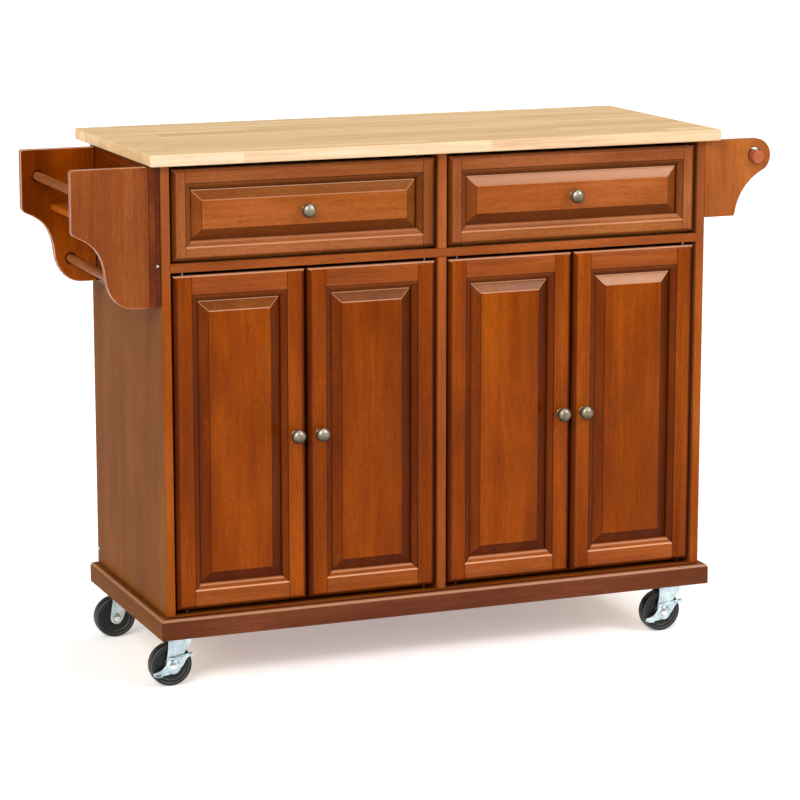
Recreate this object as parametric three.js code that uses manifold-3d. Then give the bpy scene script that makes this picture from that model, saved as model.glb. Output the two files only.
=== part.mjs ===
// A rolling kitchen island: butcher-block top, two drawers, four raised-panel doors,
// a spice rack on the left end, a towel bar on the right end and four swivel casters.
// Millimetres. +Z is up, the front faces -Y, and the floor is z = 0.
import * as THREE from 'three';
import { mergeVertices } from 'three/addons/utils/BufferGeometryUtils.js';
import Module from 'manifold-3d';

const wasm = await Module();
wasm.setup();

// ---- Driving dimensions -------------------------------------------------
const GAP = 0.3;

const TOP_WIDTH = 1067;
const TOP_DEPTH = 457;
const TOP_THICKNESS = 20;
const TOTAL_HEIGHT = 934;
const TOP_UNDERSIDE = TOTAL_HEIGHT - TOP_THICKNESS;

const CASE_HALF_WIDTH = 511.5;
const CASE_FRONT = -210;
const CASE_BACK = 210;
const SIDE_THICKNESS = 15.5;
const DIVIDER_THICKNESS = 16;
const SIDE_INNER = CASE_HALF_WIDTH - SIDE_THICKNESS;
const BACK_THICKNESS = 6;
const BACK_INNER = CASE_BACK - BACK_THICKNESS;

const PLINTH_HALF_WIDTH = 525.5;
const PLINTH_FRONT = -226;
const PLINTH_BACK = 215;
const PLINTH_BOTTOM = 96;
const PLINTH_TOP = 133;
const PLINTH_RAIL = 16;
const CLEAT_THICKNESS = 22;
const CLEAT_WIDTH = 100;

const DECK_BOTTOM = 731.3;
const DECK_TOP = 746.5;
const SHELF_TOP = 440;
const SHELF_THICKNESS = 15;
const SHELF_FRONT = -165;

const FRONT_THICKNESS = 19;
const BAY_WIDTH = SIDE_INNER - DIVIDER_THICKNESS / 2;
const BAY_CENTRE = (SIDE_INNER + DIVIDER_THICKNESS / 2) / 2;
const EDGE_CLEARANCE = 4.4;
const PAIR_CLEARANCE = 4.8;

const DRAWER_WIDTH = BAY_WIDTH - 2 * EDGE_CLEARANCE;
const DRAWER_FRONT_BOTTOM = 749.3;
const DRAWER_FRONT_TOP = 905.5;
const DRAWER_FLAT = 23.5;
const DRAWER_BOX_WIDTH = 462;
const DRAWER_BOX_BOTTOM = DECK_TOP + GAP;
const DRAWER_BOX_TOP = 880;
const DRAWER_BOX_BACK = 172;
const DRAWER_WALL = 12;
const DRAWER_FLOOR = 7;

const DOOR_WIDTH = (BAY_WIDTH - 2 * EDGE_CLEARANCE - PAIR_CLEARANCE) / 2;
const DOOR_BOTTOM = 142;
const DOOR_TOP = 725;
const DOOR_FLAT = 33;
const DOOR_KNOB_INSET = 19.8;
const DOOR_KNOB_Z = 436;

const PANEL_FIELD_DEPTH = 2.2;
const STICKING_WIDTH = 11.3;
const BEVEL_WIDTH = 19;
const GROOVE_FRONT = 9.8;
const GROOVE_BACK = 16;
const GROOVE_DEPTH = 8.3;
const TONGUE_SIDE_GAP = 0.4;
const TONGUE_END_GAP = 1;

const KNOB_LENGTH = 26;
const KNOB_RADIUS = 12.5;
const KNOB_SEGMENTS = 20;

const RACK_LEFT = -667.5;
const RACK_BOTTOM = 674.5;
const RACK_REAR_FACE = 107;
const RACK_PANEL = 12;
const RACK_BACK_BOARD = 10.7;
const RACK_BATTEN = 9.6;
const RACK_SHELF_TOP = 815.5;
const RACK_SHELF_THICKNESS = 10;
const RACK_SHELF_EDGE = -614;
const RACK_DOWEL_RADIUS = 8;
const RACK_DOWEL_UPPER = [-637, 865.8];
const RACK_DOWEL_LOWER = [-580, 717];
const RACK_SOCKET_RADIUS = RACK_DOWEL_RADIUS + 1.6;
const RACK_SOCKET_DEPTH = 6;

const END_BOARD_TOP = TOP_UNDERSIDE - 1;
const TOWEL_NOSE_X = 611.5;
const TOWEL_NOSE_Z = 881.5;
const TOWEL_NOSE_RADIUS = 31.5;
const TOWEL_HOLE_Z = 883;
const TOWEL_HOLE_RADIUS = 14;
const TOWEL_BAR_RADIUS = 11.75;
const TOWEL_BAR_FRONT = -225;
const TOWEL_BAR_BACK = 134;
const TOWEL_BRACKET_BOTTOM = 774.3;

const CASTER_X = 475;
const CASTER_Y = 168;
const CASTER_TRAIL = 20;
const CASTER_PLATE = 60;
const CASTER_PLATE_THICKNESS = 2.5;
const PLATE_HOLE_RADIUS = 2.6;
const PLATE_HOLE_INSET = 8;
const RACE_RADIUS = 22;
const RACE_BOTTOM = 87.5;
const WHEEL_RADIUS = 38;
const WHEEL_WIDTH = 24;
const AXLE_RADIUS = 5;
const FORK_INNER = 13.5;
const FORK_SHEET = 2.5;
const FORK_TOP = RACE_BOTTOM - GAP;
const FORK_REAR = 6;
const FORK_FRONT = 40;
const BOLT_HEAD_RADIUS = 7.5;
const LEVER_SHEET = 2;

// The bounding box is centred on x = 0 and y = 0.
const CENTRE_X = (RACK_LEFT + TOWEL_NOSE_X + TOWEL_NOSE_RADIUS) / 2;
const CENTRE_Y = (CASE_FRONT - GAP - KNOB_LENGTH + TOP_DEPTH / 2) / 2;

// ---- Materials ----------------------------------------------------------
function standard(color, roughness, metalness) {
  return new THREE.MeshStandardMaterial({ color, roughness, metalness });
}

const maple = () => standard('#e6c78f', 0.42, 0);
const cherry = () => standard('#a2521f', 0.38, 0);
const cherryLight = () => standard('#b5602b', 0.4, 0);
const cherrySide = () => standard('#8a6440', 0.5, 0);
const cherryDark = () => standard('#6d3420', 0.45, 0);
const stainedDark = () => standard('#5a2a10', 0.55, 0);
const plainWood = () => standard('#c9a877', 0.6, 0);
const nickel = () => standard('#aba08f', 0.3, 1);
const zinc = () => standard('#b7c3c6', 0.35, 1);
const blackPlastic = () => standard('#1b1c1c', 0.5, 0);

// ---- Shape helpers ------------------------------------------------------
function boxBetween(x0, x1, y0, y1, z0, z1) {
  const box = new THREE.BoxGeometry(x1 - x0, y1 - y0, z1 - z0);
  box.translate((x0 + x1) / 2, (y0 + y1) / 2, (z0 + z1) / 2);
  return box;
}

function named(name, geometry, material) {
  const mesh = new THREE.Mesh(geometry, material);
  mesh.name = name;
  return mesh;
}

function indexedGeometry(positions, indices) {
  const geometry = new THREE.BufferGeometry();
  geometry.setAttribute('position', new THREE.Float32BufferAttribute(positions, 3));
  geometry.setIndex(indices);
  geometry.computeVertexNormals();
  return geometry;
}

function toSolid(geometry) {
  const bare = geometry.clone();
  bare.deleteAttribute('normal');
  bare.deleteAttribute('uv');
  const merged = mergeVertices(bare, 1e-4);
  return new wasm.Manifold(new wasm.Mesh({
    numProp: 3,
    vertProperties: new Float32Array(merged.attributes.position.array),
    triVerts: new Uint32Array(merged.index.array),
  }));
}

function fromSolid(solid) {
  const mesh = solid.getMesh();
  return indexedGeometry(Array.from(mesh.vertProperties), Array.from(mesh.triVerts));
}

function joined(geometries) {
  const solids = geometries.map(toSolid);
  return fromSolid(solids.reduce((sum, next) => sum.add(next)));
}

function cutFrom(geometry, tools) {
  return fromSolid(tools.map(toSolid).reduce((rest, tool) => rest.subtract(tool), toSolid(geometry)));
}

// Rectangular rings of a width by height front, one for each [inset, depth] pair, skinned
// together with mitred corners. The front is y = 0 and depth runs along +Y. A closed
// profile makes a frame; an open one is capped at both ends and makes a panel.
function mitredLoft(width, height, profile, isFrame) {
  const positions = [];
  const indices = [];
  for (const [inset, depth] of profile) {
    const x = width / 2 - inset;
    const z = height / 2 - inset;
    positions.push(-x, depth, -z, x, depth, -z, x, depth, z, -x, depth, z);
  }
  const ringCount = profile.length;
  const spans = isFrame ? ringCount : ringCount - 1;
  for (let ring = 0; ring < spans; ring += 1) {
    const next = (ring + 1) % ringCount;
    for (let corner = 0; corner < 4; corner += 1) {
      const turn = (corner + 1) % 4;
      const a = ring * 4 + corner;
      const b = next * 4 + corner;
      const c = next * 4 + turn;
      const d = ring * 4 + turn;
      indices.push(a, b, c, a, c, d);
    }
  }
  if (!isFrame) {
    const last = (ringCount - 1) * 4;
    indices.push(0, 1, 2, 0, 2, 3);
    indices.push(last, last + 2, last + 1, last, last + 3, last + 2);
  }
  return indexedGeometry(positions, indices);
}

// A rail along X with mitred ends. The profile is a counter-clockwise outline of
// [distance behind the outer face, height] pairs.
function mitredRail(length, profile) {
  const outline = profile.map(([back, height]) => new THREE.Vector2(back, height));
  const faces = THREE.ShapeUtils.triangulateShape(outline, []);
  const positions = [];
  for (const end of [-1, 1]) {
    for (const [back, height] of profile) {
      positions.push(end * (length / 2 - back), back, height);
    }
  }
  const count = profile.length;
  const indices = [];
  for (const [a, b, c] of faces) {
    indices.push(a, c, b, count + a, count + b, count + c);
  }
  for (let k = 0; k < count; k += 1) {
    const next = (k + 1) % count;
    indices.push(k, next, count + next, k, count + next, count + k);
  }
  return indexedGeometry(positions, indices);
}

// A sheet cut to an outline in the XZ plane, between two depths.
function sheetXZ(shape, yFront, yBack, curveSegments = 7) {
  const sheet = new THREE.ExtrudeGeometry(shape, {
    depth: yBack - yFront,
    bevelEnabled: false,
    curveSegments,
  });
  sheet.rotateX(Math.PI / 2);
  sheet.translate(0, yBack, 0);
  return sheet;
}

function rodAlongY(radius, x, z, yFront, yBack, segments) {
  const rod = new THREE.CylinderGeometry(radius, radius, yBack - yFront, segments);
  rod.translate(x, (yFront + yBack) / 2, z);
  return rod;
}

// ---- Raised-panel fronts ------------------------------------------------
function frameProfile(flat) {
  const inner = flat + STICKING_WIDTH;
  return [
    [8, 0],
    [7.5, 1],
    [5.2, 1.5],
    [2.4, 3],
    [0.7, 5.2],
    [0, 8],
    [0, FRONT_THICKNESS],
    [inner, FRONT_THICKNESS],
    [inner, GROOVE_BACK],
    [inner - GROOVE_DEPTH, GROOVE_BACK],
    [inner - GROOVE_DEPTH, GROOVE_FRONT],
    [inner, GROOVE_FRONT],
    [inner - 0.8, 7.4],
    [inner - 3, 4.6],
    [inner - 6.4, 2.4],
    [flat + 0.6, 1.3],
    [flat, 0],
  ];
}

function panelProfile(flat) {
  const inner = flat + STICKING_WIDTH;
  const field = inner + BEVEL_WIDTH;
  const tongueFront = GROOVE_FRONT + TONGUE_SIDE_GAP;
  const tongueEnd = inner - GROOVE_DEPTH + TONGUE_END_GAP;
  return [
    [field, PANEL_FIELD_DEPTH],
    [field - 0.7, PANEL_FIELD_DEPTH + 1.3],
    [inner + 1, tongueFront],
    [tongueEnd, tongueFront],
    [tongueEnd, GROOVE_BACK - TONGUE_SIDE_GAP],
  ];
}

// A turned knob: small base flange, neck that flares to a ring, groove and round head.
function knob() {
  const profile = [
    [0, 0],
    [7.4, 0],
    [7.4, 1.6],
    [6.4, 3],
    [6.4, 4.6],
    [9.2, 7.8],
    [10, 9],
    [10, 10.2],
    [9.2, 11],
    [10.8, 12.4],
    [KNOB_RADIUS, 15.4],
    [KNOB_RADIUS, 18.4],
    [10.8, 22],
    [6.8, 25],
    [0, KNOB_LENGTH],
  ];
  const outline = profile.map(([radius, out]) => new THREE.Vector2(radius, out));
  const geometry = new THREE.LatheGeometry(outline, KNOB_SEGMENTS);
  geometry.rotateX(Math.PI);
  return geometry;
}

function raisedFront(prefix, width, height, flat) {
  const front = new THREE.Group();
  front.add(named(`${prefix}_frame`, mitredLoft(width, height, frameProfile(flat), true), cherry()));
  front.add(named(`${prefix}_panel`, mitredLoft(width, height, panelProfile(flat), false), cherry()));
  return front;
}

function drawerBox() {
  const half = DRAWER_BOX_WIDTH / 2;
  const front = FRONT_THICKNESS + GAP;
  const back = DRAWER_BOX_BACK - CASE_FRONT;
  const height = DRAWER_BOX_TOP - DRAWER_BOX_BOTTOM;
  const block = boxBetween(-half, half, front, back, 0, height);
  const hollow = boxBetween(
    -half + DRAWER_WALL,
    half - DRAWER_WALL,
    front + DRAWER_WALL,
    back - DRAWER_WALL,
    DRAWER_FLOOR,
    height + DRAWER_WALL,
  );
  return cutFrom(block, [hollow]);
}

function drawer(prefix, x) {
  const height = DRAWER_FRONT_TOP - DRAWER_FRONT_BOTTOM;
  const group = new THREE.Group();
  const front = raisedFront(prefix, DRAWER_WIDTH, height, DRAWER_FLAT);
  front.position.z = (DRAWER_FRONT_TOP + DRAWER_FRONT_BOTTOM) / 2;
  const pull = named(`${prefix}_knob`, knob(), nickel());
  pull.position.y = PANEL_FIELD_DEPTH - GAP;
  front.add(pull);
  const box = named(`${prefix}_box`, drawerBox(), plainWood());
  box.position.z = DRAWER_BOX_BOTTOM;
  group.add(front, box);
  group.position.set(x, CASE_FRONT, 0);
  return group;
}

// freeSide is 1 when the knob is on the door's right edge and -1 when on its left.
function door(prefix, x, freeSide) {
  const height = DOOR_TOP - DOOR_BOTTOM;
  const centre = (DOOR_TOP + DOOR_BOTTOM) / 2;
  const group = raisedFront(prefix, DOOR_WIDTH, height, DOOR_FLAT);
  const pull = named(`${prefix}_knob`, knob(), nickel());
  pull.position.set(freeSide * (DOOR_WIDTH / 2 - DOOR_KNOB_INSET), -GAP, DOOR_KNOB_Z - centre);
  group.add(pull);
  group.position.set(x, CASE_FRONT, centre);
  return group;
}

// ---- Top and case -------------------------------------------------------
function topBoard() {
  const profile = [
    [2.2, 0],
    [0.6, 0.6],
    [0, 2.2],
    [0, TOP_THICKNESS - 2],
    [0.6, TOP_THICKNESS - 0.6],
    [2, TOP_THICKNESS],
  ];
  const board = mitredLoft(TOP_WIDTH, TOP_DEPTH, profile, false);
  board.rotateX(-Math.PI / 2);
  board.translate(0, 0, TOTAL_HEIGHT);
  return named('top_board', board, maple());
}

function caseBoards() {
  const group = new THREE.Group();
  const add = (name, material, ...limits) => group.add(named(name, boxBetween(...limits), material));
  const half = CASE_HALF_WIDTH;
  const inner = SIDE_INNER - GAP;
  const web = DIVIDER_THICKNESS / 2;
  const back = BACK_INNER - GAP;
  const standing = [PLINTH_TOP + GAP, TOP_UNDERSIDE - GAP];
  add('side_left', cherrySide(), -half, -SIDE_INNER, CASE_FRONT, CASE_BACK, ...standing);
  add('side_right', cherrySide(), SIDE_INNER, half, CASE_FRONT, CASE_BACK, ...standing);
  add('deck', cherryLight(), -inner, inner, CASE_FRONT, back, DECK_BOTTOM, DECK_TOP);
  add('divider_lower', cherryLight(), -web, web, CASE_FRONT, back, standing[0], DECK_BOTTOM - GAP);
  add('divider_upper', cherryLight(), -web, web, CASE_FRONT, back, DECK_TOP + GAP, standing[1]);
  add('back_panel', cherrySide(), -inner, inner, BACK_INNER, CASE_BACK, ...standing);
  const shelf = [SHELF_FRONT, back, SHELF_TOP - SHELF_THICKNESS, SHELF_TOP];
  add('shelf_left', cherry(), -inner, -web - GAP, ...shelf);
  add('shelf_right', cherry(), web + GAP, inner, ...shelf);
  return group;
}

function plinth() {
  const group = new THREE.Group();
  const profile = [
    [0, PLINTH_BOTTOM],
    [PLINTH_RAIL, PLINTH_BOTTOM],
    [PLINTH_RAIL, PLINTH_TOP],
    [6.5, PLINTH_TOP],
    [4.2, PLINTH_TOP - 0.7],
    [2, PLINTH_TOP - 2.4],
    [0.7, PLINTH_TOP - 4.6],
    [0.3, PLINTH_TOP - 6.2],
    [0, PLINTH_TOP - 6.6],
  ];
  const width = 2 * PLINTH_HALF_WIDTH;
  const depth = PLINTH_BACK - PLINTH_FRONT;
  const middle = (PLINTH_BACK + PLINTH_FRONT) / 2;
  const rails = [
    ['plinth_front', width, 0, 0, PLINTH_FRONT],
    ['plinth_right', depth, Math.PI / 2, PLINTH_HALF_WIDTH, middle],
    ['plinth_back', width, Math.PI, 0, PLINTH_BACK],
    ['plinth_left', depth, -Math.PI / 2, -PLINTH_HALF_WIDTH, middle],
  ];
  for (const [name, length, turn, x, y] of rails) {
    const rail = named(name, mitredRail(length - 2 * GAP, profile), cherryDark());
    rail.rotation.z = turn;
    rail.position.set(x, y, 0);
    group.add(rail);
  }
  return group;
}

function floorAndCleats() {
  const group = new THREE.Group();
  const half = PLINTH_HALF_WIDTH - PLINTH_RAIL - GAP;
  const front = PLINTH_FRONT + PLINTH_RAIL + GAP;
  const back = PLINTH_BACK - PLINTH_RAIL - GAP;
  const cleatTop = PLINTH_BOTTOM + CLEAT_THICKNESS;
  const floor = boxBetween(-half, half, front, back, cleatTop + GAP, PLINTH_TOP);
  group.add(named('floor_board', floor, cherry()));
  const left = boxBetween(-half, CLEAT_WIDTH - half, front, back, PLINTH_BOTTOM + GAP, cleatTop);
  group.add(named('cleat_left', left, plainWood()));
  const right = boxBetween(half - CLEAT_WIDTH, half, front, back, PLINTH_BOTTOM + GAP, cleatTop);
  group.add(named('cleat_right', right, plainWood()));
  return group;
}

// ---- Spice rack ---------------------------------------------------------
function rackEndShape(right) {
  const shape = new THREE.Shape();
  shape.moveTo(right, END_BOARD_TOP);
  shape.lineTo(RACK_LEFT + 5, END_BOARD_TOP);
  shape.quadraticCurveTo(RACK_LEFT, END_BOARD_TOP, RACK_LEFT, END_BOARD_TOP - 5);
  shape.lineTo(RACK_LEFT, 812);
  shape.quadraticCurveTo(RACK_LEFT, 804, -657, 799.5);
  shape.bezierCurveTo(-627, 787, -613, 768, -609.8, 728.6);
  shape.bezierCurveTo(-607, 697, -588, 676, -563, RACK_BOTTOM);
  shape.lineTo(right, RACK_BOTTOM);
  shape.closePath();
  return shape;
}

function spiceRack() {
  const group = new THREE.Group();
  const battenRight = -CASE_HALF_WIDTH - GAP;
  const battenLeft = battenRight - RACK_BATTEN;
  const boardRight = battenLeft - GAP;
  const boardLeft = boardRight - RACK_BACK_BOARD;
  const endRight = boardLeft - GAP;
  const frontInside = CASE_FRONT + RACK_PANEL;
  const rearInside = RACK_REAR_FACE;
  const rearBack = RACK_REAR_FACE + RACK_PANEL;
  const outline = rackEndShape(endRight);
  const dowels = [RACK_DOWEL_UPPER, RACK_DOWEL_LOWER];
  const sockets = dowels.map(([x, z]) => rodAlongY(
    RACK_SOCKET_RADIUS,
    x,
    z,
    frontInside - RACK_SOCKET_DEPTH,
    rearInside + RACK_SOCKET_DEPTH,
    20,
  ));
  const frontEnd = cutFrom(sheetXZ(outline, CASE_FRONT, frontInside), sockets);
  group.add(named('rack_end_front', frontEnd, cherry()));
  const rearEnd = cutFrom(sheetXZ(outline, rearInside, rearBack), sockets);
  group.add(named('rack_end_rear', rearEnd, cherry()));
  const height = [RACK_BOTTOM, END_BOARD_TOP];
  const board = boxBetween(boardLeft, boardRight, CASE_FRONT, rearBack, ...height);
  group.add(named('rack_back', board, cherry()));
  const batten = boxBetween(battenLeft, battenRight, CASE_FRONT + 4, rearBack - 4, ...height);
  group.add(named('rack_batten', batten, stainedDark()));
  const shelf = boxBetween(
    RACK_SHELF_EDGE,
    endRight,
    frontInside + GAP,
    rearInside - GAP,
    RACK_SHELF_TOP - RACK_SHELF_THICKNESS,
    RACK_SHELF_TOP,
  );
  group.add(named('rack_shelf', shelf, cherry()));
  const dowelFront = frontInside - RACK_SOCKET_DEPTH + GAP;
  const dowelBack = rearInside + RACK_SOCKET_DEPTH - GAP;
  ['rack_dowel_upper', 'rack_dowel_lower'].forEach((name, k) => {
    const [x, z] = dowels[k];
    const dowel = rodAlongY(RACK_DOWEL_RADIUS, x, z, dowelFront, dowelBack, 20);
    group.add(named(name, dowel, cherry()));
  });
  return group;
}

// ---- Towel holder -------------------------------------------------------
function towelBracketShape() {
  const left = CASE_HALF_WIDTH + GAP;
  const shape = new THREE.Shape();
  shape.moveTo(left, END_BOARD_TOP);
  shape.lineTo(left, TOWEL_BRACKET_BOTTOM);
  shape.lineTo(568.5, TOWEL_BRACKET_BOTTOM);
  shape.quadraticCurveTo(572, TOWEL_BRACKET_BOTTOM, 572.6, TOWEL_BRACKET_BOTTOM + 5);
  shape.bezierCurveTo(577, 806, 590, 833, 621, 851.5);
  shape.quadraticCurveTo(628, 855, 633.8, 859.2);
  const start = Math.atan2(859.2 - TOWEL_NOSE_Z, 633.8 - TOWEL_NOSE_X);
  shape.absarc(TOWEL_NOSE_X, TOWEL_NOSE_Z, TOWEL_NOSE_RADIUS, start, Math.PI / 2, false);
  shape.closePath();
  const hole = new THREE.Path();
  hole.absarc(TOWEL_NOSE_X, TOWEL_HOLE_Z, TOWEL_HOLE_RADIUS, 0, 2 * Math.PI, true);
  shape.holes.push(hole);
  return shape;
}

function towelHolder() {
  const group = new THREE.Group();
  const shape = towelBracketShape();
  const faces = [
    ['towel_bracket_front', CASE_FRONT],
    ['towel_bracket_rear', RACK_REAR_FACE],
  ];
  for (const [name, y] of faces) {
    group.add(named(name, sheetXZ(shape, y, y + RACK_PANEL, 12), cherry()));
  }
  const barZ = TOWEL_HOLE_Z - TOWEL_HOLE_RADIUS + TOWEL_BAR_RADIUS + GAP;
  const bar = rodAlongY(TOWEL_BAR_RADIUS, TOWEL_NOSE_X, barZ, TOWEL_BAR_FRONT, TOWEL_BAR_BACK, 28);
  group.add(named('towel_bar', bar, cherryLight()));
  return group;
}

// ---- Casters ------------------------------------------------------------
function casterPlate() {
  const half = CASTER_PLATE / 2;
  const top = PLINTH_BOTTOM - GAP;
  const plate = boxBetween(-half, half, -half, half, top - CASTER_PLATE_THICKNESS, top);
  const race = new THREE.CylinderGeometry(RACE_RADIUS, RACE_RADIUS - 3, top - 1 - RACE_BOTTOM, 24);
  race.rotateX(Math.PI / 2);
  race.translate(0, 0, (top - 1 + RACE_BOTTOM) / 2);
  const screwOffset = half - PLATE_HOLE_INSET;
  const holes = [];
  for (const sx of [-1, 1]) {
    for (const sy of [-1, 1]) {
      const hole = new THREE.CylinderGeometry(PLATE_HOLE_RADIUS, PLATE_HOLE_RADIUS, 12, 12);
      hole.rotateX(Math.PI / 2);
      hole.translate(sx * screwOffset, sy * screwOffset, top);
      holes.push(hole);
    }
  }
  return cutFrom(joined([plate, race]), holes);
}

// The leg's outline around the axle, seen from the front with the wheel trailing to the left.
function forkLegShape() {
  const shape = new THREE.Shape();
  const x = -CASTER_TRAIL;
  const z = WHEEL_RADIUS;
  shape.moveTo(x - FORK_REAR, FORK_TOP);
  shape.lineTo(x - 11, z + 2);
  shape.absarc(x, z, 11, Math.PI * 0.95, Math.PI * 1.8, false);
  shape.lineTo(x + 24, z + 24);
  shape.lineTo(x + FORK_FRONT, FORK_TOP);
  shape.closePath();
  return shape;
}

function fork() {
  const leg = forkLegShape();
  const outer = FORK_INNER + FORK_SHEET;
  const x = -CASTER_TRAIL;
  const z = WHEEL_RADIUS;
  const bridge = boxBetween(x - FORK_REAR, x + FORK_FRONT, -outer, outer, FORK_TOP - FORK_SHEET, FORK_TOP);
  const pieces = [
    sheetXZ(leg, -outer, -FORK_INNER),
    sheetXZ(leg, FORK_INNER, outer),
    bridge,
    rodAlongY(AXLE_RADIUS, x, z, -outer - 4, outer + 4, 16),
    rodAlongY(BOLT_HEAD_RADIUS, x, z, -outer - 7, -outer - 3, 6),
    rodAlongY(BOLT_HEAD_RADIUS, x, z, outer - 0.5, outer + 4, 6),
  ];
  return joined(pieces);
}

function wheel() {
  const half = WHEEL_WIDTH / 2;
  const profile = [
    [AXLE_RADIUS + GAP, -half - 1],
    [12, -half - 1],
    [13, -half + 4],
    [27, -half + 4],
    [29, -half],
    [34.5, -half],
    [37.4, -half + 3],
    [WHEEL_RADIUS, 0],
    [37.4, half - 3],
    [34.5, half],
    [29, half],
    [27, half - 4],
    [13, half - 4],
    [12, half + 1],
    [AXLE_RADIUS + GAP, half + 1],
    [AXLE_RADIUS + GAP, -half - 1],
  ];
  const outline = profile.map(([radius, along]) => new THREE.Vector2(radius, along));
  return new THREE.LatheGeometry(outline, 28);
}

// A sheet lever that turns on the axle, with a curled toe tab and a lower tab.
function brakeLever() {
  const front = -FORK_INNER - FORK_SHEET - GAP - LEVER_SHEET;
  const back = front + LEVER_SHEET;
  const x = -CASTER_TRAIL;
  const z = WHEEL_RADIUS;
  const shape = new THREE.Shape();
  shape.moveTo(x - 34, z - 9);
  shape.quadraticCurveTo(x - 37, z - 16, x - 31, z - 16.5);
  shape.quadraticCurveTo(x - 8, z - 17, x + 8, z - 10);
  shape.quadraticCurveTo(x + 18, z - 4, x + 23, z + 7);
  shape.quadraticCurveTo(x + 27, z + 14, x + 34, z + 16.5);
  shape.lineTo(x + 34, z + 22);
  shape.quadraticCurveTo(x + 16, z + 18, x - 8, z + 16.5);
  shape.quadraticCurveTo(x - 10, z + 1, x - 20, z - 5);
  shape.closePath();
  const hole = new THREE.Path();
  hole.absarc(x, z, AXLE_RADIUS + GAP, 0, 2 * Math.PI, true);
  shape.holes.push(hole);
  const toe = boxBetween(x + 32, x + 39, front - 5, back, z + 18.5, z + 21.5);
  const curl = rodAlongY(3, x + 39, z + 20, front - 5, back, 12);
  const flange = boxBetween(x - 6, x + 26, front - 3, back, z + 14.5, z + 16.5);
  const tab = boxBetween(x - 32, x - 20, front - 6, back, z - 16.5, z - 14.5);
  return joined([sheetXZ(shape, front, back), toe, curl, flange, tab]);
}

function caster(prefix, x, y, hasBrake) {
  const group = new THREE.Group();
  group.add(named(`${prefix}_plate`, casterPlate(), zinc()));
  group.add(named(`${prefix}_fork`, fork(), zinc()));
  const roller = named(`${prefix}_wheel`, wheel(), blackPlastic());
  roller.position.set(-CASTER_TRAIL, 0, WHEEL_RADIUS);
  group.add(roller);
  if (hasBrake) {
    group.add(named(`${prefix}_brake`, brakeLever(), zinc()));
  }
  group.position.set(x, y, 0);
  return group;
}

// ---- Assembly -----------------------------------------------------------
const island = new THREE.Group();
island.add(topBoard(), caseBoards(), plinth(), floorAndCleats(), spiceRack(), towelHolder());
island.add(drawer('drawer_left', -BAY_CENTRE), drawer('drawer_right', BAY_CENTRE));

const leafOffset = (DOOR_WIDTH + PAIR_CLEARANCE) / 2;
island.add(door('door_1', -BAY_CENTRE - leafOffset, 1));
island.add(door('door_2', -BAY_CENTRE + leafOffset, -1));
island.add(door('door_3', BAY_CENTRE - leafOffset, 1));
island.add(door('door_4', BAY_CENTRE + leafOffset, -1));

island.add(caster('caster_fl', -CASTER_X, -CASTER_Y, true));
island.add(caster('caster_fr', CASTER_X, -CASTER_Y, true));
island.add(caster('caster_rl', -CASTER_X, CASTER_Y, false));
island.add(caster('caster_rr', CASTER_X, CASTER_Y, false));

island.position.set(-CENTRE_X, -CENTRE_Y, 0);

export default island;
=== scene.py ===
"""Looks for the rolling kitchen island: stained case, raised-panel fronts, butcher-block top, zinc casters.

Metres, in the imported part's own frame: +X towards the towel bar, -Y towards the person at the doors, +Z up.
"""

import math

import bmesh
import bpy
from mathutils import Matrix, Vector


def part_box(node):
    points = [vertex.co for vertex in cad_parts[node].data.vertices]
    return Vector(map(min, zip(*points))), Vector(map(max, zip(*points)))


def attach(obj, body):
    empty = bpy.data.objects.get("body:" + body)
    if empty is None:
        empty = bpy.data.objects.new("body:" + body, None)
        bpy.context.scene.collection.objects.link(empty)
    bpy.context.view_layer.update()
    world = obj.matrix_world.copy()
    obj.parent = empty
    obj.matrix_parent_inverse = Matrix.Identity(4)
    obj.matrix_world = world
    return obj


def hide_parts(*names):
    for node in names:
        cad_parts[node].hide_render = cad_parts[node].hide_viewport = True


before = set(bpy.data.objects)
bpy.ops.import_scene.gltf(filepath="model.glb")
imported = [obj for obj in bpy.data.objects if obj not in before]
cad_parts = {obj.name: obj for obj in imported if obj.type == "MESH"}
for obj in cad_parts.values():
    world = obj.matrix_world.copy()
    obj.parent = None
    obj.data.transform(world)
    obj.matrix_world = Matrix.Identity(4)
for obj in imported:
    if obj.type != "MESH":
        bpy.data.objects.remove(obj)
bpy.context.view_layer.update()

MM = 0.001
SCENE = bpy.context.scene
DOORS = ("door_1", "door_2", "door_3", "door_4")
DRAWERS = ("drawer_left", "drawer_right")
CASTERS = ("caster_fl", "caster_fr", "caster_rl", "caster_rr")
BRAKED = ("caster_fl", "caster_fr")
DECK_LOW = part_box("deck")[0].z

# ---- Colours --------------------------------------------------------------


def srgb(red, green, blue):
    """A colour given as 0 to 255 on a screen, as the linear values that a shader takes."""

    def linear(value):
        share = value / 255
        return share / 12.92 if share <= 0.04045 else ((share + 0.055) / 1.055) ** 2.4

    return (linear(red), linear(green), linear(blue), 1.0)


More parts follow.
